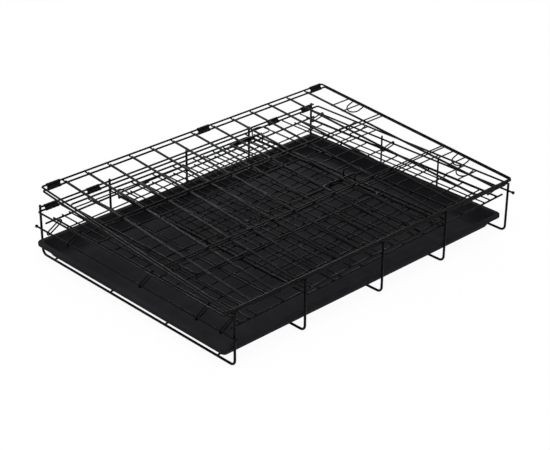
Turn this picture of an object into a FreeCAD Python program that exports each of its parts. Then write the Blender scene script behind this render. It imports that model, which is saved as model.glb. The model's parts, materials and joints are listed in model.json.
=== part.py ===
import FreeCAD, Part
import math
import os

from FreeCAD import Vector

# A folding wire pet cage, lying folded flat: millimetres, X along the long sides, Y to the back, Z up.
# The origin is on the floor, under the middle of the whole.

# Base: bent cross wires, floor wires, rims and end rails
base_length = 610.0          # between the middles of the two end cross wires
base_width = 460.0           # between the middles of the front and back uprights
cross_wire_dia = 4.0
frame_wire_dia = 3.2
grid_wire_dia = 2.4
base_bend = 9.0              # bend of the cross wires, at the middle of the wire
weld_gap = 0.05              # between two wires that are welded where they cross
cross_wire_shares = (0.0, 0.23, 0.504, 0.744, 1.0)
outer_floor_shares = (0.075, 0.925)
post_floor_shares = (0.33, 0.615)
post_bend = 8.0
post_rise = 8.0              # a post's top above the right rail
left_rail_clear = 17.5       # the left rail above the tray's lip
rail_step = 24.0             # the right rail above the left rail
rim_over_rail = 14.0         # the rims above the right rail
rail_overhang = 9.0          # a rail's end beyond the upright
rail_knob_dia = 5.6

# Tray
tray_depth = 25.0
tray_wall = 2.0
tray_end_gap = 1.0           # to the posts at the right end
tray_side_gap = 3.0          # to the uprights
tray_left_reach = 18.0       # beyond the middle of the left cross wire
tray_lip = 6.0
tray_lip_drop = 5.0
tray_corner = 12.0
tray_foot_corner = 6.0       # least corner, where the walls lean in
tray_slope = 12.0            # how far a wall leans in from the lip to the floor
tray_seat = 0.05

# Long panels: sides A and B and the roof
panel_overhang = 11.0        # a long panel's end beyond the end cross wire
panel_corner = 3.5           # bend of a long panel's frame, at the middle of the wire
bay_count = 14
level_shares = (1.0 / 3.0, 2.0 / 3.0)
wire_end = 0.6               # a wire's end beyond the middle of the edge wire that it crosses
side_a_drop = 4.5            # side A's hinge wire below the rim
side_a_inset = 4.25          # side A's hinge wire inside the rim
side_a_front_gap = 9.0       # side A's free wire to the front rim
side_b_clear = 0.55          # between side B's hinge wire and the rim under it
side_b_outset = 1.65         # side B's hinge wire outside the rim
side_b_tilt = 4.6            # degrees, as it lies folded
side_b_height = 434.6        # side B's hinge wire to its top wire
roof_hinge_past = 3.6        # the roof's hinge wire past side B's top wire
roof_nest_gap = 0.3          # between the roof's cross wires and side B's wires under or beside them
roof_front_past = 3.0        # the roof's free wire past side B's hinge wire

# Keepers at the right end of both sides, which the right end panel hooks into
keeper_shares = (0.24, 0.81)
keeper_upper = 21.0          # the first short wire from the loop's middle
keeper_lower = 6.0           # the second short wire from the loop's middle
keeper_loop_width = 26.0
keeper_reach = 20.0          # the loop's bow from the frame's end wire
keeper_droop = 7.0           # the loop's bow under its ends

# Hinge clips
clip_length = 25.0
clip_wall = 0.8
clip_groove = 0.5
clip_band_count = 4
clip_groove_share = 0.08
turning_gap = 0.3            # round a wire that turns in a clip or loop
clip_end_inset = 18.0        # an end clip's middle from the end cross wire
clip_share = 0.64            # an inner clip's middle from the panel's middle, of half its length
roof_clip_shares = (-0.9244, 0.0711, 0.9244)

# End panels
end_panel_gap = 6.0          # an end panel's side wire to the uprights
end_panel_height = 440.0
column_count = 12
end_close_levels = (17.0, 31.0)   # two level wires from the hinge wire
end_level_first = 85.0       # the even row of level wires starts here
end_level_pitch = 47.0
end_level_count = 8
end_side_past = 17.0         # a side wire's end past the hinge wire
end_panel_tilt = 1.5         # degrees, rising to the right, as both lie folded
end_hinge_inset = 22.7       # the hinge wire inside its rail
left_panel_rise = 13.2       # the left hinge wire above its rail
right_panel_drop = 4.8       # the right hinge wire below its rail
left_loop_shares = (-0.462, -0.345, -0.055, 0.345, 0.462)
right_loop_shares = (-0.462, 0.0676, 0.462)
hook_shares = (0.32, 0.87)
hook_reach = 4.0             # a side hook's reach beyond the side wire
hook_turn = 12.0
hook_bend = 4.0

# Door in side A
door_first_bay = 1
door_last_bay = 10
door_height = 330.0          # side A's hinge wire to the wire over the door
door_low_gap = 14.0          # between side A's hinge wire and the door
door_gap = 5.0               # between the door and the wires beside and over it
door_corner = 9.0
door_level_shares = (0.04, 0.41, 0.76)
door_clip_length = 12.0
door_clip_shares = (0.25, 0.62)

# Slide bolts on the door, with their guides and catches
bolt_dia = 4.0
bolt_length = 74.0
bolt_handle = 24.0
bolt_bend = 6.0
bolt_reach = 18.0            # the tip beyond the door's latch wire
guide_length = 6.0
guide_wall = 1.2
guide_gap = 0.1
guide_inset = 10.0           # the first guide from the door's latch wire
guide_spacing = 24.0
catch_gap = 3.5              # between the bolt and the catch over it
catch_width = 26.0
catch_reach = 24.0           # the bow's end from its feet
catch_bend = 3.0

# Places worked out from the sizes above
cross_r = cross_wire_dia / 2
frame_r = frame_wire_dia / 2
grid_r = grid_wire_dia / 2
half_length = base_length / 2
half_width = base_width / 2
half_panel = half_length + panel_overhang
bay = 2 * (half_panel - frame_r) / bay_count
rim_y = half_width - cross_r - frame_r - weld_gap
floor_wire_z = cross_wire_dia + frame_r + weld_gap
tray_floor_z = floor_wire_z + frame_r + tray_seat
tray_top = tray_floor_z + tray_depth
left_rail_z = tray_top + left_rail_clear
right_rail_z = left_rail_z + rail_step
rim_z = right_rail_z + rim_over_rail
rail_x = half_length + cross_r + frame_r + weld_gap
post_x = rail_x - frame_wire_dia - weld_gap
frame_layer = frame_r + grid_r + weld_gap      # from an edge wire to the wires across it
grid_layer = grid_wire_dia + weld_gap          # between two layers of grid wires
end_width = 2 * (half_width - cross_r - end_panel_gap)
column_pitch = (end_width - grid_wire_dia) / column_count
side_a_height = 2 * rim_y - side_a_inset - side_a_front_gap
side_b_rise = frame_wire_dia + side_b_clear
panel_inside = half_panel - frame_wire_dia - weld_gap   # where wires inside a long panel's frame end
roof_shift = grid_wire_dia + roof_nest_gap     # the roof's cross wires lie beside side B's uprights
middle_shift = (tray_left_reach - panel_overhang) / 2   # brings the middle of the whole over the origin
X_AXIS = Vector(1, 0, 0)
Y_AXIS = Vector(0, 1, 0)
Z_AXIS = Vector(0, 0, 1)


def rod(start, end, dia):
    """A straight round wire between two points."""
    run = end - start
    return Part.makeCylinder(dia / 2, run.Length, start, run)


def bent_path(points, bends, closed):
    """Straight runs between points, joined by an arc at each point with a bend."""
    count = len(points)
    turns = {}
    for i in range(count) if closed else range(1, count - 1):
        here = points[i]
        back = (points[i - 1] - here).normalize()
        ahead = (points[(i + 1) % count] - here).normalize()
        half_angle = back.getAngle(ahead) / 2
        middle = (back + ahead).normalize()
        bend = bends[i]
        setback = bend / math.tan(half_angle)
        reach = bend / math.sin(half_angle) - bend
        turns[i] = (here + back * setback, here + middle * reach, here + ahead * setback)
    edges = []
    for i in range(count if closed else count - 1):
        following = (i + 1) % count
        start = turns[i][2] if i in turns else points[i]
        end = turns[following][0] if following in turns else points[following]
        edges.append(Part.LineSegment(start, end).toShape())
        if following in turns:
            edges.append(Part.Arc(*turns[following]).toShape())
    return edges


def bent_wire(points, bend, dia, closed=False):
    """A round wire bent along points, with one bend for all of them or a list of bends."""
    bends = bend if isinstance(bend, list) else [bend] * len(points)
    edges = bent_path(points, bends, closed)
    first = edges[0]
    start = first.valueAt(first.FirstParameter)
    direction = first.tangentAt(first.FirstParameter)
    ring = Part.Wire([Part.Circle(start, direction, dia / 2).toShape()])
    return Part.Wire(edges).makePipeShell([ring], True, False)


class Panel:
    """Places on a panel: along its hinge wire, out from the hinge wire, and up off its plane."""

    def __init__(self, origin, along, out):
        self.origin = origin
        self.along = along
        self.out = out
        normal = along.cross(out)
        self.up = normal if normal.z > 0 else normal * -1

    def at(self, along, out, up=0.0):
        return self.origin + self.along * along + self.out * out + self.up * up

    def line(self, start, end, dia):
        return rod(self.at(*start), self.at(*end), dia)


def save(name, shapes):
    piece = Part.makeCompound(shapes)
    piece.translate(X_AXIS * middle_shift)
    piece.exportStep(os.path.join("parts", name + ".step"))


def base_cross_wires():
    """Wires bent up at both ends, which the base stands on."""
    top = rim_z + frame_r
    wires = []
    for share in cross_wire_shares:
        x = -half_length + share * base_length
        path = [
            Vector(x, -half_width, top),
            Vector(x, -half_width, cross_r),
            Vector(x, half_width, cross_r),
            Vector(x, half_width, top),
        ]
        wires.append(bent_wire(path, base_bend, cross_wire_dia))
    return wires


def outer_floor_wires():
    reach = half_length + wire_end
    wires = []
    for share in outer_floor_shares:
        y = -half_width + share * base_width
        wires.append(rod(Vector(-reach, y, floor_wire_z), Vector(reach, y, floor_wire_z), frame_wire_dia))
    return wires


def post_floor_wires():
    """Floor wires that turn up at the right end, as posts behind the right rail."""
    reach = half_length + wire_end
    wires = []
    for share in post_floor_shares:
        y = -half_width + share * base_width
        path = [
            Vector(-reach, y, floor_wire_z),
            Vector(post_x, y, floor_wire_z),
            Vector(post_x, y, right_rail_z + post_rise),
        ]
        wires.append(bent_wire(path, post_bend, frame_wire_dia))
    return wires


def side_rims():
    reach = half_length + cross_r
    return [
        rod(Vector(-reach, y, rim_z), Vector(reach, y, rim_z), frame_wire_dia)
        for y in (-rim_y, rim_y)
    ]


def end_rail(x, z):
    """A straight rail with a round knob at each end."""
    reach = half_width + cross_r + rail_overhang - rail_knob_dia / 2
    front = Vector(x, -reach, z)
    back = Vector(x, reach, z)
    rail = rod(front, back, frame_wire_dia)
    for end in (front, back):
        rail = rail.fuse(Part.makeSphere(rail_knob_dia / 2, end))
    return rail.removeSplitter()


def rounded_rectangle(x_low, x_high, y_half, corner, z):
    """A closed outline with round corners at one height."""
    notch = corner * (1 - math.sqrt(0.5))
    arcs = [
        (Vector(x_high - corner, -y_half, z), Vector(x_high - notch, -y_half + notch, z),
         Vector(x_high, -y_half + corner, z)),
        (Vector(x_high, y_half - corner, z), Vector(x_high - notch, y_half - notch, z),
         Vector(x_high - corner, y_half, z)),
        (Vector(x_low + corner, y_half, z), Vector(x_low + notch, y_half - notch, z),
         Vector(x_low, y_half - corner, z)),
        (Vector(x_low, -y_half + corner, z), Vector(x_low + notch, -y_half + notch, z),
         Vector(x_low + corner, -y_half, z)),
    ]
    edges = []
    for i, arc in enumerate(arcs):
        edges.append(Part.Arc(*arc).toShape())
        edges.append(Part.LineSegment(arc[-1], arcs[(i + 1) % len(arcs)][0]).toShape())
    return Part.Wire(edges)


def tray():
    """A shallow tray with leaning walls and a flat lip that turns down at its edge."""
    x_high = post_x - frame_r - tray_end_gap
    x_low = -half_length - tray_left_reach
    y_half = half_width - cross_r - tray_side_gap

    def outline(inset, z):
        corner = max(tray_corner - inset, tray_foot_corner)
        return rounded_rectangle(x_low + inset, x_high - inset, y_half - inset, corner, z)

    def prism(inset, z_low, z_high):
        return Part.Face(outline(inset, z_low)).extrude(Z_AXIS * (z_high - z_low))

    foot = tray_lip + tray_slope
    foot_z = tray_floor_z + tray_wall
    outer = Part.makeLoft([outline(foot, tray_floor_z), outline(tray_lip, tray_top)], True, True)
    inner_foot = outline(foot + tray_wall, foot_z)
    inner = Part.makeLoft([inner_foot, outline(tray_lip + tray_wall, tray_top)], True, True)
    lip = prism(0.0, tray_top - tray_lip_drop, tray_top)
    under_lip = prism(tray_wall, tray_top - tray_lip_drop, tray_top - tray_wall)
    return outer.fuse(lip.cut(under_lip)).cut(inner).removeSplitter()


def wrap_clip(first, second, run, first_bore, second_bore):
    """A strap wrapped round two parallel wires, in bands with grooves between them.

    first and second are where the clip starts on the two wires, and run is its length along them.
    """
    along = Vector(run).normalize()
    side = along.cross((second - first).normalize()) * clip_wall
    web = Part.makePolygon([first + side, second + side, second - side, first - side, first + side])
    body = Part.Face(web).extrude(run)
    band_share = (1 - clip_groove_share * (clip_band_count - 1)) / clip_band_count
    for start, bore in ((first, first_bore), (second, second_bore)):
        radius = bore + clip_wall
        body = body.fuse(Part.makeCylinder(radius - clip_groove, run.Length, start, along))
        for i in range(clip_band_count):
            place = start + run * (i * (band_share + clip_groove_share))
            body = body.fuse(Part.makeCylinder(radius, run.Length * band_share, place, along))
    for start, bore in ((first, first_bore), (second, second_bore)):
        body = body.cut(Part.makeCylinder(bore, run.Length, start, along))
    return body.removeSplitter()


def side_a_panel():
    return Panel(Vector(0, rim_y - side_a_inset, rim_z - side_a_drop), X_AXIS, Y_AXIS * -1)


def side_b_panel():
    tilt = math.radians(side_b_tilt)
    lean = Vector(0, math.cos(tilt), math.sin(tilt))
    return Panel(Vector(0, -rim_y - side_b_outset, rim_z + side_b_rise), X_AXIS, lean)


def roof_panel():
    """The roof lies on side B, its cross wires beside side B's uprights."""
    side_b = side_b_panel()
    rise = frame_r + roof_nest_gap + grid_r + frame_layer
    origin = side_b.at(0, side_b_height + roof_hinge_past, rise)
    return Panel(origin, X_AXIS, side_b.out * -1)


def upright_x(index):
    return -half_panel + frame_r + index * bay


def panel_frame(panel, height, right_end):
    """A closed frame bent from one wire, from the left end to right_end."""
    left = -half_panel + frame_r
    right = right_end - frame_r
    path = [panel.at(left, 0.0), panel.at(right, 0.0), panel.at(right, height), panel.at(left, height)]
    return bent_wire(path, panel_corner, frame_wire_dia, closed=True)


def grid_levels(side):
    """How far off the panel's plane the wires across it and the wires along it lie."""
    across = side * frame_layer
    return across, across - side * grid_layer


def level_wires(panel, height, side, right_inside):
    _, off = grid_levels(side)
    return [
        panel.line((-panel_inside, share * height, off), (right_inside, share * height, off), grid_wire_dia)
        for share in level_shares
    ]


def upright_wires(panel, height, side, shift):
    off, _ = grid_levels(side)
    wires = []
    for i in range(1, bay_count):
        x = upright_x(i) + shift
        wires.append(panel.line((x, -wire_end, off), (x, height + wire_end, off), grid_wire_dia))
    return wires


def keeper_wires(panel, height, side):
    """Short wires across the right end bay."""
    _, off = grid_levels(side)
    inner = upright_x(bay_count - 1) - wire_end
    wires = []
    for share in keeper_shares:
        for place in (share * height + keeper_upper, share * height - keeper_lower):
            wires.append(panel.line((panel_inside, place, off), (inner, place, off), grid_wire_dia))
    return wires


def keeper_loops(panel, height):
    """Bowed loops under the frame's right end, one beside each pair of short wires."""
    off = -frame_layer
    bow_off = off - keeper_droop
    end = half_panel - frame_r + wire_end
    bow = half_panel - frame_r - keeper_reach
    loops = []
    for share in keeper_shares:
        low = share * height - keeper_loop_width / 2
        high = share * height + keeper_loop_width / 2
        path = [panel.at(end, low, off), panel.at(bow, low, bow_off), panel.at(bow, high, bow_off),
                panel.at(end, high, off)]
        loops.append(bent_wire(path, keeper_loop_width / 2 - weld_gap, grid_wire_dia))
    return loops


def save_roof():
    panel = roof_panel()
    side_b = side_b_panel()
    width = side_b_height + roof_hinge_past + roof_front_past
    short = 2 * roof_shift
    save("roof_frame", [panel_frame(panel, width, half_panel - short)])
    save("roof_level_wires", level_wires(panel, width, -1, panel_inside - short))
    save("roof_cross_wires", upright_wires(panel, width, -1, -roof_shift))
    clips = []
    for share in roof_clip_shares:
        x = share * half_panel - clip_length / 2
        clips.append(wrap_clip(side_b.at(x, side_b_height), panel.at(x, 0.0), X_AXIS * clip_length,
                               frame_r + weld_gap, frame_r + turning_gap))
    save("roof_hinge_clips", clips)


def rim_clips(panel, rim_side):
    """The clips that hold a side's hinge wire to its rim."""
    end = half_length - clip_end_inset
    inner = clip_share * half_panel
    clips = []
    for middle in (-end, -inner, inner, end):
        x = middle - clip_length / 2
        clips.append(wrap_clip(Vector(x, rim_side * rim_y, rim_z), panel.at(x, 0.0), X_AXIS * clip_length,
                               frame_r + weld_gap, frame_r + turning_gap))
    return clips


def save_side_b():
    panel = side_b_panel()
    height = side_b_height
    save("side_b_frame", [panel_frame(panel, height, half_panel)])
    save("side_b_level_wires", level_wires(panel, height, 1, panel_inside))
    save("side_b_upright_wires", upright_wires(panel, height, 1, 0.0))
    save("side_b_keeper_wires", keeper_wires(panel, height, 1))
    save("side_b_keeper_loops", keeper_loops(panel, height))
    save("side_b_hinge_clips", rim_clips(panel, -1))


def side_a_levels(panel):
    """Level wires that stop at the doorway, and the wire over the door."""
    _, off = grid_levels(-1)
    left = upright_x(door_first_bay)
    right = upright_x(door_last_bay)
    wires = []
    for share in level_shares:
        s = share * side_a_height
        wires.append(panel.line((-panel_inside, s, off), (left + wire_end, s, off), grid_wire_dia))
        wires.append(panel.line((right - wire_end, s, off), (panel_inside, s, off), grid_wire_dia))
    wires.append(panel.line((left - wire_end, door_height, off), (right + wire_end, door_height, off),
                            grid_wire_dia))
    return wires


def side_a_uprights(panel):
    """Uprights that start over the door where the doorway is."""
    off, _ = grid_levels(-1)
    wires = []
    for i in range(1, bay_count):
        over_door = door_first_bay < i < door_last_bay
        start = door_height - wire_end if over_door else -wire_end
        x = upright_x(i)
        wires.append(panel.line((x, start, off), (x, side_a_height + wire_end, off), grid_wire_dia))
    return wires


def save_side_a():
    panel = side_a_panel()
    save("side_a_frame", [panel_frame(panel, side_a_height, half_panel)])
    save("side_a_level_wires", side_a_levels(panel))
    save("side_a_upright_wires", side_a_uprights(panel))
    save("side_a_keeper_wires", keeper_wires(panel, side_a_height, -1))
    save("side_a_keeper_loops", keeper_loops(panel, side_a_height))
    save("side_a_hinge_clips", rim_clips(panel, 1))


def door_box():
    """The door frame's left, right, lower and upper places on side A."""
    left = upright_x(door_first_bay) + door_gap
    right = upright_x(door_last_bay) - door_gap
    return left, right, door_low_gap, door_height - door_gap


def save_door():
    panel = side_a_panel()
    left, right, low, high = door_box()
    across, along = grid_levels(-1)
    corners = [panel.at(left, low), panel.at(right, low), panel.at(right, high), panel.at(left, high)]
    save("door_frame", [bent_wire(corners, door_corner, frame_wire_dia, closed=True)])
    start = low - wire_end
    end = high + wire_end
    save("door_upright_wires", [
        panel.line((upright_x(i), start, across), (upright_x(i), end, across), grid_wire_dia)
        for i in range(door_first_bay + 1, door_last_bay)
    ])
    inside = frame_r + weld_gap
    save("door_level_wires", [
        panel.line((left + inside, s, along), (right - inside, s, along), grid_wire_dia)
        for s in door_levels()
    ])
    clips = []
    for share in door_clip_shares:
        s = low + share * (high - low)
        run = panel.out * door_clip_length
        clips.append(wrap_clip(panel.at(upright_x(door_first_bay), s, across), panel.at(left, s), run,
                               grid_r + weld_gap, frame_r + turning_gap))
    save("door_hinge_clips", clips)


def door_levels():
    _, _, low, high = door_box()
    return [low + share * (high - low) for share in door_level_shares]


def bolt_height():
    """The bolt's middle over side A's plane: its guides lie on the door's level wires."""
    _, along = grid_levels(-1)
    return along + grid_r + weld_gap + bolt_dia / 2 + guide_gap + guide_wall


def slide_bolt(panel, s):
    _, right, _, _ = door_box()
    tip = right + bolt_reach
    tail = tip - bolt_length
    up = bolt_height()
    path = [panel.at(tip, s, up), panel.at(tail, s, up), panel.at(tail, s + bolt_handle, up)]
    return bent_wire(path, bolt_bend, bolt_dia)


def bolt_guides(panel, s):
    _, right, _, _ = door_box()
    guides = []
    bore = bolt_dia / 2 + guide_gap
    for inset in (guide_inset, guide_inset + guide_spacing):
        start = panel.at(right - inset - guide_length, s, bolt_height())
        tube = Part.makeCylinder(bore + guide_wall, guide_length, start, X_AXIS)
        guides.append(tube.cut(Part.makeCylinder(bore, guide_length, start, X_AXIS)))
    return guides


def bolt_catch(panel, s):
    """A bowed wire over the bolt's tip, with its two feet welded beside the upright."""
    across, _ = grid_levels(-1)
    x = upright_x(door_last_bay) + grid_layer
    foot = across - grid_r
    top = bolt_height() + bolt_dia / 2 + catch_gap + grid_r
    low = s - catch_width / 2
    high = s + catch_width / 2
    bow = x + catch_reach
    path = [panel.at(x, low, foot), panel.at(x, low, top), panel.at(bow, low, top),
            panel.at(bow, high, top), panel.at(x, high, top), panel.at(x, high, foot)]
    round_bend = catch_width / 2 - weld_gap
    bends = [0.0, catch_bend, round_bend, round_bend, catch_bend, 0.0]
    return bent_wire(path, bends, grid_wire_dia)


def save_bolts():
    panel = side_a_panel()
    lower, _, upper = door_levels()
    save("lower_slide_bolt", [slide_bolt(panel, lower)])
    save("upper_slide_bolt", [slide_bolt(panel, upper)])
    save("bolt_guides", bolt_guides(panel, lower) + bolt_guides(panel, upper))
    save("bolt_catches", [bolt_catch(panel, lower), bolt_catch(panel, upper)])


def column_y(index):
    return -end_width / 2 + grid_r + index * column_pitch


def hinge_loop(y, rail, wire):
    """An oval wire loop round a rail and a panel's hinge wire, both seen end-on."""
    end = (wire - rail).normalize()
    side = Y_AXIS.cross(end)
    r = frame_r + turning_gap + grid_r
    shift = Y_AXIS * y
    a = rail + shift
    b = wire + shift
    edges = [
        Part.LineSegment(a + side * r, b + side * r).toShape(),
        Part.Arc(b + side * r, b + end * r, b - side * r).toShape(),
        Part.LineSegment(b - side * r, a - side * r).toShape(),
        Part.Arc(a - side * r, a - end * r, a + side * r).toShape(),
    ]
    ring = Part.Wire([Part.Circle(a + side * r, end, grid_r).toShape()])
    return Part.Wire(edges).makePipeShell([ring], True, False)


def side_hooks(panel):
    """Hooks on both side wires that catch the keepers when the panel stands."""
    _, off = grid_levels(-1)
    hooks = []
    for hand in (-1, 1):
        outer = hand * (end_width / 2 + hook_reach)
        inner = hand * (end_width / 2 - column_pitch - grid_wire_dia)
        for share in hook_shares:
            s = share * end_panel_height
            path = [panel.at(inner, s, off), panel.at(outer, s, off), panel.at(outer, s - hook_turn, off)]
            hooks.append(bent_wire(path, hook_bend, grid_wire_dia))
    return hooks


def end_levels():
    """How far the level wires lie from the hinge wire: two close ones, then an even row."""
    row = [end_level_first + i * end_level_pitch for i in range(end_level_count)]
    return list(end_close_levels) + row


def end_uprights(panel):
    """Thin uprights between two thick side wires, all under the edge wires."""
    across, _ = grid_levels(-1)
    top = end_panel_height + wire_end
    wires = []
    for i in range(1, column_count):
        y = column_y(i)
        wires.append(panel.line((y, -wire_end, across), (y, top, across), grid_wire_dia))
    off = -frame_wire_dia - weld_gap
    for hand in (-1, 1):
        y = hand * (end_width / 2 - frame_r)
        wires.append(panel.line((y, -end_side_past, off), (y, top, off), frame_wire_dia))
    return wires


def save_end_panel(name, panel, rail, loop_shares):
    _, along = grid_levels(-1)
    half = end_width / 2
    save(name + "_edge_wires", [
        panel.line((-half, s), (half, s), frame_wire_dia) for s in (0.0, end_panel_height)
    ])
    save(name + "_level_wires", [
        panel.line((-half, s, along), (half, s, along), grid_wire_dia) for s in end_levels()
    ])
    save(name + "_upright_wires", end_uprights(panel))
    save(name + "_hinge_loops", [hinge_loop(share * end_width, rail, panel.origin) for share in loop_shares])
    save(name + "_side_hooks", side_hooks(panel))


def save_end_panels():
    """Both end panels lie inclined, the left one over the right one."""
    tilt = math.radians(end_panel_tilt)
    lean = Vector(math.cos(tilt), 0, math.sin(tilt))
    left_rail = Vector(-rail_x, 0, left_rail_z)
    left_wire = left_rail + Vector(end_hinge_inset, 0, left_panel_rise)
    save_end_panel("left_end", Panel(left_wire, Y_AXIS, lean), left_rail, left_loop_shares)
    right_rail = Vector(rail_x, 0, right_rail_z)
    right_wire = right_rail - Vector(end_hinge_inset, 0, right_panel_drop)
    save_end_panel("right_end", Panel(right_wire, Y_AXIS, lean * -1), right_rail, right_loop_shares)


def main():
    os.makedirs("parts", exist_ok=True)
    save("base_cross_wires", base_cross_wires())
    save("floor_outer_wires", outer_floor_wires())
    save("floor_post_wires", post_floor_wires())
    save("side_rim_wires", side_rims())
    save("left_end_rail", [end_rail(-rail_x, left_rail_z)])
    save("right_end_rail", [end_rail(rail_x, right_rail_z)])
    save("tray", [tray()])
    save_end_panels()
    save_side_a()
    save_door()
    save_bolts()
    save_side_b()
    save_roof()


main()
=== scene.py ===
import json
import math

import bmesh
import bpy
import numpy as np
from mathutils import Matrix, Vector


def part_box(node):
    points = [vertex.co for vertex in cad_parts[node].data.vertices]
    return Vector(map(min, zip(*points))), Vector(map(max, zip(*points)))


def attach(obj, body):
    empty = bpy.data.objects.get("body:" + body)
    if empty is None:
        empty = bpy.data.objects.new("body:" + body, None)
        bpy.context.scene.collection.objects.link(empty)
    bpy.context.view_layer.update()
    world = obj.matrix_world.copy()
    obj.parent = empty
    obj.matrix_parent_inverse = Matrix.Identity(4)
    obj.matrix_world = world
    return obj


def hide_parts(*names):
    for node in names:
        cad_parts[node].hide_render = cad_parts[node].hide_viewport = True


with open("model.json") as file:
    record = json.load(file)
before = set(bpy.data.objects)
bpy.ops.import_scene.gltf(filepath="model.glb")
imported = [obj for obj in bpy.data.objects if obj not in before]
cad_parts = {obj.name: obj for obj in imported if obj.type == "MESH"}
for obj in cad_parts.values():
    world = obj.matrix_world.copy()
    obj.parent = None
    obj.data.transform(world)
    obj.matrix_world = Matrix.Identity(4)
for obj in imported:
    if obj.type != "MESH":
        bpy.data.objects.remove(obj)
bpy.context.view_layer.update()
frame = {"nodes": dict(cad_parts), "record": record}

# A folding wire pet cage lying folded flat. Metres, in the frame of the solids.

# Camera, as the photo was taken
camera_place = (-1.5421, -1.6007, 1.1916)
camera_yaw = -43.88          # degrees
camera_pitch = 27.51
camera_roll = 0.39
focal_length = 100.32        # millimetres, on a sensor of the width below
sensor_width = 36.0

# Studio
floor_reach = 6.0
floor_white = (0.9, 0.9, 0.9, 1.0)
floor_roughness = 0.9
backdrop_share = 0.955       # how much of the floor's white is its own
backdrop_light = 1.0         # the world, as the camera and reflections see it
world_light = 0.5            # the world, as it lights the cage
white = (1.0, 1.0, 1.0, 1.0)
key_place = (-0.6, -0.4, 2.2)
key_power = 26.0
key_size = 0.7
fill_place = (-2.0, -1.2, 1.2)
fill_power = 10.0
fill_size = 1.6
rim_place = (1.5, 1.6, 1.2)  # across from the camera, so that the wires glint
rim_power = 17.0
rim_size = 0.5

# Finishes
# A noise is its scale to the metre, its detail and its roughness
# Limits are where a ramp starts and ends on its noise
# A bump is its strength and its height

# Coating of the wires
wire_patches = (38.0, 4.0, 0.5)
wire_patch_limits = (0.3, 0.75)
wire_colours = ((0.0018, 0.0018, 0.0021, 1.0), (0.0038, 0.0038, 0.0043, 1.0))
wire_gloss = (160.0, 3.0, 0.5)
wire_gloss_limits = (0.3, 0.7)
wire_roughness = (0.18, 0.32)
wire_peel = (900.0, 2.0, 0.5)
wire_peel_bump = (0.25, 0.0002)
wire_specular = 0.045

# Sheet of the clips
clip_rubs = (220.0, 6.0, 0.65)
clip_rub_limits = (0.52, 0.72)
clip_colours = ((0.0025, 0.0025, 0.0027, 1.0), (0.009, 0.0088, 0.0085, 1.0))
clip_gloss_limits = (0.3, 0.7)
clip_roughness = (0.5, 0.38)
clip_grain = (1500.0, 2.0, 0.5)
clip_grain_bump = (0.3, 0.0002)
clip_specular = 0.08

# Plastic of the tray
plastic_cloud = (9.0, 5.0, 0.6)
plastic_cloud_limits = (0.3, 0.75)
plastic_colours = ((0.012, 0.012, 0.0142, 1.0), (0.019, 0.019, 0.0218, 1.0))
plastic_gloss_limits = (0.25, 0.75)
plastic_roughness = (0.46, 0.6)
plastic_grain = (1100.0, 2.0, 0.5)
plastic_grain_bump = (0.35, 0.00025)
plastic_specular = 0.008
dust_specks = (420.0, 3.0, 0.7)
dust_limits = (0.6, 0.78)
dust_shares = (0.0, 0.12)    # how much of the plastic the dust hides
dust_colour = (0.03, 0.028, 0.024, 1.0)

# Tray
lip_width = 0.006
lip_drop = 0.005
tray_wall = 0.002
tray_slope = 0.012           # how far the walls lean out
tray_corner = 0.012
foot_corner = 0.006
lip_round = 0.0009
fold_round = lip_round / 2   # inside the lip
foot_round = 0.004
foot_room = foot_round * 2   # floor that the round at the foot may take up
corner_steps = 8
round_steps = 4

# Welds and dipped wire ends
weld_reach = 0.00025         # widest gap between two wires that are welded
weld_long_share = 1.25       # of the thinner wire's radius, along the wires
weld_deep_share = 0.95       # of the thinner wire's radius, through both wires
tip_share = 0.55             # how far a dipped end bulges, of the wire's radius
ball_turns = 10
ball_rings = 6

# Measuring the wires of the frame
merge_distance = 1e-6        # points this close are one
order_digits = 5             # wires are put in order by their middles, to a hundredth of a millimetre
measure_digits = 6           # and measured to a thousandth
straight_share = 0.05        # a straight wire's width, of its length, at most
alike_limit = 0.1            # wires run alike below this squared sine of the angle between them


def new_material(name):
    """A material with its nodes, its links and its shader."""
    material = bpy.data.materials.new(name)
    material.use_nodes = True
    nodes = material.node_tree.nodes
    return material, nodes, material.node_tree.links, nodes["Principled BSDF"]


def noise(nodes, links, scale, detail, roughness):
    """Noise in the object's own metres."""
    place = nodes.new("ShaderNodeTexCoord")
    texture = nodes.new("ShaderNodeTexNoise")
    texture.inputs["Scale"].default_value = scale
    texture.inputs["Detail"].default_value = detail
    texture.inputs["Roughness"].default_value = roughness
    links.new(place.outputs["Object"], texture.inputs["Vector"])
    return texture.outputs["Fac"]


def ramp(nodes, links, source, limits, colours):
    """The first colour up to the first limit of the source, the last from the last one on."""
    node = nodes.new("ShaderNodeValToRGB")
    for element, limit, colour in zip(node.color_ramp.elements, limits, colours):
        element.position = limit
        element.color = colour
    links.new(source, node.inputs["Fac"])
    return node.outputs["Color"]


def greys(values):
    """Grey colours for plain values."""
    return [(value, value, value, 1.0) for value in values]


def bump(nodes, links, height, strength, distance):
    """Normals that rise and fall with the height."""
    node = nodes.new("ShaderNodeBump")
    node.inputs["Strength"].default_value = strength
    node.inputs["Distance"].default_value = distance
    links.new(height, node.inputs["Height"])
    return node.outputs["Normal"]


def coated_wire():
    """Black baked coating with a faint orange peel and patches of more and less gloss."""
    material, nodes, links, shader = new_material("coated_wire")
    patches = noise(nodes, links, *wire_patches)
    gloss = noise(nodes, links, *wire_gloss)
    peel = noise(nodes, links, *wire_peel)
    colour = ramp(nodes, links, patches, wire_patch_limits, wire_colours)
    roughness = ramp(nodes, links, gloss, wire_gloss_limits, greys(wire_roughness))
    links.new(colour, shader.inputs["Base Color"])
    links.new(roughness, shader.inputs["Roughness"])
    links.new(bump(nodes, links, peel, *wire_peel_bump), shader.inputs["Normal"])
    shader.inputs["Specular IOR Level"].default_value = wire_specular
    return material


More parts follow.
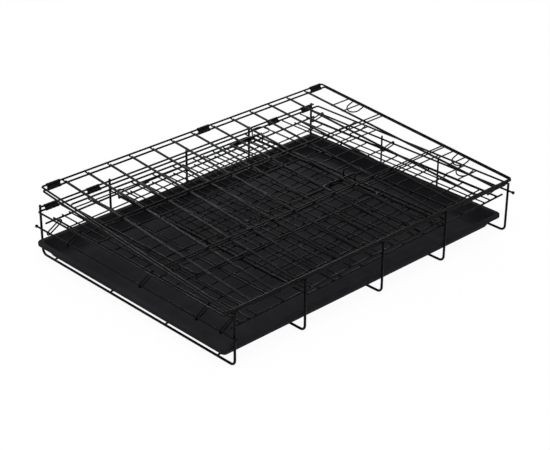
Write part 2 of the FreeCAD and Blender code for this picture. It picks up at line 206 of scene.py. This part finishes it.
def clip_steel():
    """Coated sheet, a little duller, rubbed pale in spots."""
    material, nodes, links, shader = new_material("clip_steel")
    rubs = noise(nodes, links, *clip_rubs)
    grain = noise(nodes, links, *clip_grain)
    colour = ramp(nodes, links, rubs, clip_rub_limits, clip_colours)
    roughness = ramp(nodes, links, rubs, clip_gloss_limits, greys(clip_roughness))
    links.new(colour, shader.inputs["Base Color"])
    links.new(roughness, shader.inputs["Roughness"])
    links.new(bump(nodes, links, grain, *clip_grain_bump), shader.inputs["Normal"])
    shader.inputs["Specular IOR Level"].default_value = clip_specular
    return material


def tray_plastic():
    """Black moulded plastic: a fine grain, cloudy gloss and a little dust."""
    material, nodes, links, shader = new_material("tray_plastic")
    cloud = noise(nodes, links, *plastic_cloud)
    specks = noise(nodes, links, *dust_specks)
    grain = noise(nodes, links, *plastic_grain)
    clean = ramp(nodes, links, cloud, plastic_cloud_limits, plastic_colours)
    dust = ramp(nodes, links, specks, dust_limits, greys(dust_shares))
    roughness = ramp(nodes, links, cloud, plastic_gloss_limits, greys(plastic_roughness))
    mix = nodes.new("ShaderNodeMix")
    mix.data_type = "RGBA"
    mix.inputs["B"].default_value = dust_colour
    links.new(dust, mix.inputs["Factor"])
    links.new(clean, mix.inputs["A"])
    links.new(mix.outputs["Result"], shader.inputs["Base Color"])
    links.new(roughness, shader.inputs["Roughness"])
    links.new(bump(nodes, links, grain, *plastic_grain_bump), shader.inputs["Normal"])
    shader.inputs["Specular IOR Level"].default_value = plastic_specular
    return material


def dress_nodes(materials):
    """Give each node of the frame the finish of its material slot."""
    slots = {part["node"]: part["material_slot"] for part in frame["record"]["subparts"]}
    for name, node in frame["nodes"].items():
        node.data.materials.clear()
        node.data.materials.append(materials[slots[name]])


def add_piece(name, mesh, body, material):
    """A visible piece that rides on a body."""
    piece = bpy.data.objects.new(name, mesh)
    bpy.context.scene.collection.objects.link(piece)
    mesh.materials.append(material)
    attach(piece, body)
    return piece


def rounded_outline(x_low, x_high, y_half, corner, z):
    """A ring of points round a rectangle with round corners."""
    points = []
    places = ((x_high - corner, -y_half + corner), (x_high - corner, y_half - corner),
              (x_low + corner, y_half - corner), (x_low + corner, -y_half + corner))
    for quarter, (x, y) in enumerate(places):
        for step in range(corner_steps + 1):
            angle = math.pi / 2 * (quarter - 1 + step / corner_steps)
            points.append(Vector((x + corner * math.cos(angle), y + corner * math.sin(angle), z)))
    return points


def rounded_profile(points, rounds):
    """The points of a bent line with its corners rounded, each by its own radius."""
    line = [points[0]]
    for i in range(1, len(points) - 1):
        here = points[i]
        back = (points[i - 1] - here).normalized()
        ahead = (points[i + 1] - here).normalized()
        setback = rounds[i] / math.tan(back.angle(ahead) / 2)
        first = here + back * setback
        last = here + ahead * setback
        for step in range(round_steps + 1):
            t = step / round_steps
            line.append(first * (1 - t) ** 2 + here * (2 * t * (1 - t)) + last * t ** 2)
    line.append(points[-1])
    return line


def tray_profile(z_low, z_high):
    """The tray's wall from its floor over the lip and back under the floor, as inset and height."""
    foot = lip_width + tray_slope
    inner_foot = foot + tray_wall
    lean = tray_slope / (z_high - z_low)
    under = z_high - tray_wall
    wall_under_lip = lip_width + lean * tray_wall
    corners = (
        (inner_foot + foot_room, z_low + tray_wall, 0.0),
        (inner_foot, z_low + tray_wall, foot_round),
        (lip_width + tray_wall, z_high, lip_round),
        (0.0, z_high, lip_round),
        (0.0, z_high - lip_drop, fold_round),
        (tray_wall, z_high - lip_drop, fold_round),
        (tray_wall, under, fold_round),
        (wall_under_lip, under, fold_round),
        (foot, z_low, foot_round),
        (foot + foot_room, z_low, 0.0),
    )
    points = [Vector((inset, z)) for inset, z, _ in corners]
    rounds = [radius for _, _, radius in corners]
    return rounded_profile(points, rounds)


def tray_mesh():
    """The tray's walls as rings round it, closed by its floor."""
    low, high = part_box("tray")
    y_half = high.y
    mesh = bmesh.new()
    rings = []
    for inset, z in tray_profile(low.z, high.z):
        corner = max(tray_corner - inset, foot_corner)
        outline = rounded_outline(low.x + inset, high.x - inset, y_half - inset, corner, z)
        rings.append([mesh.verts.new(point) for point in outline])
    count = len(rings[0])
    for ring, following in zip(rings, rings[1:]):
        for i in range(count):
            j = (i + 1) % count
            mesh.faces.new((ring[i], ring[j], following[j], following[i]))
    mesh.faces.new(rings[0])
    mesh.faces.new(reversed(rings[-1]))
    bmesh.ops.recalc_face_normals(mesh, faces=mesh.faces)
    data = bpy.data.meshes.new("tray_shell")
    mesh.to_mesh(data)
    mesh.free()
    data.shade_smooth()
    return data


def make_tray(material):
    """The tray with a rounded lip and foot, in place of its plain solid."""
    piece = add_piece("tray_shell", tray_mesh(), "tray", material)
    normals = piece.modifiers.new("even_normals", "WEIGHTED_NORMAL")
    normals.keep_sharp = True
    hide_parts("tray")


def wire_islands(node):
    """The points of each separate wire in a node, as arrays."""
    mesh = bmesh.new()
    mesh.from_mesh(node.data)
    bmesh.ops.remove_doubles(mesh, verts=mesh.verts, dist=merge_distance)
    mesh.verts.index_update()
    seen = set()
    islands = []
    for first in mesh.verts:
        if first.index in seen:
            continue
        seen.add(first.index)
        todo = [first]
        found = []
        while todo:
            vert = todo.pop()
            found.append(vert.co[:])
            for edge in vert.link_edges:
                other = edge.other_vert(vert)
                if other.index not in seen:
                    seen.add(other.index)
                    todo.append(other)
        islands.append(np.array(found))
    mesh.free()
    return sorted(islands, key=lambda points: tuple(points.mean(0).round(order_digits)))


def main_axes(points):
    """The middle of some points and the axes of their spread, widest first, largest parts positive."""
    middle = points.mean(0)
    _, _, axes = np.linalg.svd(points - middle, full_matrices=False)
    for axis in axes:
        axis *= np.sign(axis[np.abs(axis).argmax()])
    return middle, axes


def straight_wire(points):
    """The two ends and the radius of a straight wire, or None for a bent or stubby one."""
    middle, axes = main_axes(points)
    spans = (points - middle) @ axes.T
    low = spans[:, 0].min()
    high = spans[:, 0].max()
    radius = np.linalg.norm(spans[:, 1:], axis=1).max()
    if 2 * radius > straight_share * (high - low):
        return None
    start = Vector((middle + axes[0] * low).round(measure_digits))
    end = Vector((middle + axes[0] * high).round(measure_digits))
    return start, end, radius.round(measure_digits)


def frame_sides(points):
    """The four sides of a flat frame bent from one wire."""
    middle, axes = main_axes(points)
    spans = (points - middle) @ axes.T
    low = spans.min(0)
    high = spans.max(0)
    length, width, thickness = high - low
    radius = (thickness / 2).round(measure_digits)
    centre = middle + axes.T @ ((low + high) / 2)
    long = axes[0] * (length / 2 - radius)
    wide = axes[1] * (width / 2 - radius)
    signs = ((-1, -1), (1, -1), (1, 1), (-1, 1))
    corners = [Vector((centre + long * a + wide * b).round(measure_digits)) for a, b in signs]
    return [(corners[i - 1], corners[i], radius) for i in range(len(corners))]


def body_wires(body):
    """The straight wires of a body, and the sides of its frames."""
    wires = []
    sides = []
    for name in frame["record"]["behaviour"]["bodies"][body]:
        if not name.endswith(("wires", "frame")):
            continue
        for points in wire_islands(frame["nodes"][name]):
            if name.endswith("frame"):
                sides.extend(frame_sides(points))
                continue
            wire = straight_wire(points)
            if wire:
                wires.append(wire)
    return wires, sides


def nearest_points(first, second):
    """Where two straight wires come closest, or None if they run alike or past each other."""
    a, a_end, _ = first
    b, b_end, _ = second
    u = a_end - a
    v = b_end - b
    w = a - b
    spread = u.dot(u) * v.dot(v) - u.dot(v) ** 2
    if spread < alike_limit * u.dot(u) * v.dot(v):
        return None
    s = (u.dot(v) * v.dot(w) - v.dot(v) * u.dot(w)) / spread
    t = (u.dot(u) * v.dot(w) - u.dot(v) * u.dot(w)) / spread
    if not (0 <= s <= 1 and 0 <= t <= 1):
        return None
    return a + u * s, b + v * t


def ball(mesh, place, axes):
    """A closed egg with its half axes along three vectors."""
    turn = Matrix(axes).transposed().to_4x4()
    made = bmesh.ops.create_uvsphere(mesh, u_segments=ball_turns, v_segments=ball_rings, radius=1.0)
    bmesh.ops.transform(mesh, matrix=Matrix.Translation(place) @ turn, verts=made["verts"])


def weld_beads(mesh, wires, sides):
    """A bead at each place where a wire is welded to another wire, or to a side of a frame."""
    for i, first in enumerate(wires):
        start, end, radius = first
        along = (end - start).normalized()
        for second in wires[i + 1:] + sides:
            near = nearest_points(first, second)
            if near is None:
                continue
            other_radius = second[2]
            gap = near[1] - near[0]
            if gap.length > radius + other_radius + weld_reach:
                continue
            thin = min(radius, other_radius)
            across = gap.normalized()
            place = near[0] + across * (gap.length + radius - other_radius) / 2
            ball(mesh, place, (along * thin * weld_long_share,
                               across.cross(along) * thin * weld_long_share,
                               across * thin * weld_deep_share))


def wire_tips(mesh, wires):
    """A round dipped tip on each end of each wire."""
    for start, end, radius in wires:
        along = (end - start).normalized()
        side = along.orthogonal().normalized()
        other = along.cross(side)
        for place in (start, end):
            ball(mesh, place, (side * radius, other * radius, along * radius * tip_share))


def make_weld_details(material):
    """One piece for each body that has straight wires, with its beads and tips."""
    for body in frame["record"]["behaviour"]["bodies"]:
        wires, sides = body_wires(body)
        if not wires:
            continue
        mesh = bmesh.new()
        weld_beads(mesh, wires, sides)
        wire_tips(mesh, wires)
        data = bpy.data.meshes.new(body + "_welds")
        mesh.to_mesh(data)
        mesh.free()
        data.shade_smooth()
        add_piece(body + "_welds", data, body, material)


def light_path(nodes, links):
    """One for rays that see the background, straight or by reflection."""
    path = nodes.new("ShaderNodeLightPath")
    total = path.outputs["Is Camera Ray"]
    for name in ("Is Glossy Ray", "Is Transmission Ray"):
        add = nodes.new("ShaderNodeMath")
        add.operation = "MAXIMUM"
        links.new(total, add.inputs[0])
        links.new(path.outputs[name], add.inputs[1])
        total = add.outputs[0]
    return total


def floor_material():
    """A pale floor that shows mostly as white, and keeps some of the cage's shadow."""
    material, nodes, links, shader = new_material("pale_floor")
    shader.inputs["Base Color"].default_value = floor_white
    shader.inputs["Roughness"].default_value = floor_roughness
    shader.inputs["Specular IOR Level"].default_value = 0.0
    glow = nodes.new("ShaderNodeEmission")
    glow.inputs["Color"].default_value = white
    share = nodes.new("ShaderNodeMath")
    share.operation = "MULTIPLY"
    share.inputs[1].default_value = backdrop_share
    links.new(light_path(nodes, links), share.inputs[0])
    mix = nodes.new("ShaderNodeMixShader")
    links.new(share.outputs[0], mix.inputs[0])
    links.new(shader.outputs[0], mix.inputs[1])
    links.new(glow.outputs[0], mix.inputs[2])
    links.new(mix.outputs[0], nodes["Material Output"].inputs["Surface"])
    return material


def make_floor():
    """A flat floor under the cage, past the edges of the photo's picture."""
    mesh = bmesh.new()
    bmesh.ops.create_grid(mesh, x_segments=1, y_segments=1, size=floor_reach)
    data = bpy.data.meshes.new("floor")
    mesh.to_mesh(data)
    mesh.free()
    data.materials.append(floor_material())
    floor = bpy.data.objects.new("floor", data)
    bpy.context.scene.collection.objects.link(floor)


def make_world():
    """Even light from all round, that shows as white."""
    world = bpy.data.worlds.new("studio")
    bpy.context.scene.world = world
    world.use_nodes = True
    nodes = world.node_tree.nodes
    links = world.node_tree.links
    background = nodes["Background"]
    background.inputs["Color"].default_value = white
    strength = nodes.new("ShaderNodeMapRange")
    strength.inputs["To Min"].default_value = world_light
    strength.inputs["To Max"].default_value = backdrop_light
    links.new(light_path(nodes, links), strength.inputs["Value"])
    links.new(strength.outputs[0], background.inputs["Strength"])


def make_lamp(name, place, power, size):
    """A square lamp that faces the origin."""
    data = bpy.data.lights.new(name, "AREA")
    data.shape = "SQUARE"
    data.size = size
    data.energy = power
    lamp = bpy.data.objects.new(name, data)
    lamp.location = place
    lamp.rotation_mode = "QUATERNION"
    lamp.rotation_quaternion = Vector(place).to_track_quat("Z", "Y")
    bpy.context.scene.collection.objects.link(lamp)


def make_camera():
    """The photo's camera, turned by its yaw, pitch and roll."""
    yaw = math.radians(camera_yaw)
    pitch = math.radians(camera_pitch)
    roll = math.radians(camera_roll)
    upward = Vector((0.0, 0.0, 1.0))
    back = Vector((math.sin(yaw) * math.cos(pitch), -math.cos(yaw) * math.cos(pitch), math.sin(pitch)))
    level = upward.cross(back).normalized()
    rise = back.cross(level)
    side = level * math.cos(roll) + rise * math.sin(roll)
    up = rise * math.cos(roll) - level * math.sin(roll)
    data = bpy.data.cameras.new("camera")
    data.sensor_width = sensor_width
    data.lens = focal_length
    camera = bpy.data.objects.new("camera", data)
    turn = Matrix((side, up, back)).transposed().to_4x4()
    camera.matrix_world = Matrix.Translation(camera_place) @ turn
    bpy.context.scene.collection.objects.link(camera)
    bpy.context.scene.camera = camera


def main():
    """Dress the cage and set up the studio."""
    bpy.context.scene.view_settings.view_transform = "Standard"
    materials = {"coated_wire": coated_wire(), "clip_steel": clip_steel(), "tray_plastic": tray_plastic()}
    dress_nodes(materials)
    make_tray(materials["tray_plastic"])
    make_weld_details(materials["coated_wire"])
    make_floor()
    make_world()
    make_lamp("key", key_place, key_power, key_size)
    make_lamp("fill", fill_place, fill_power, fill_size)
    make_lamp("rim", rim_place, rim_power, rim_size)
    make_camera()


main()
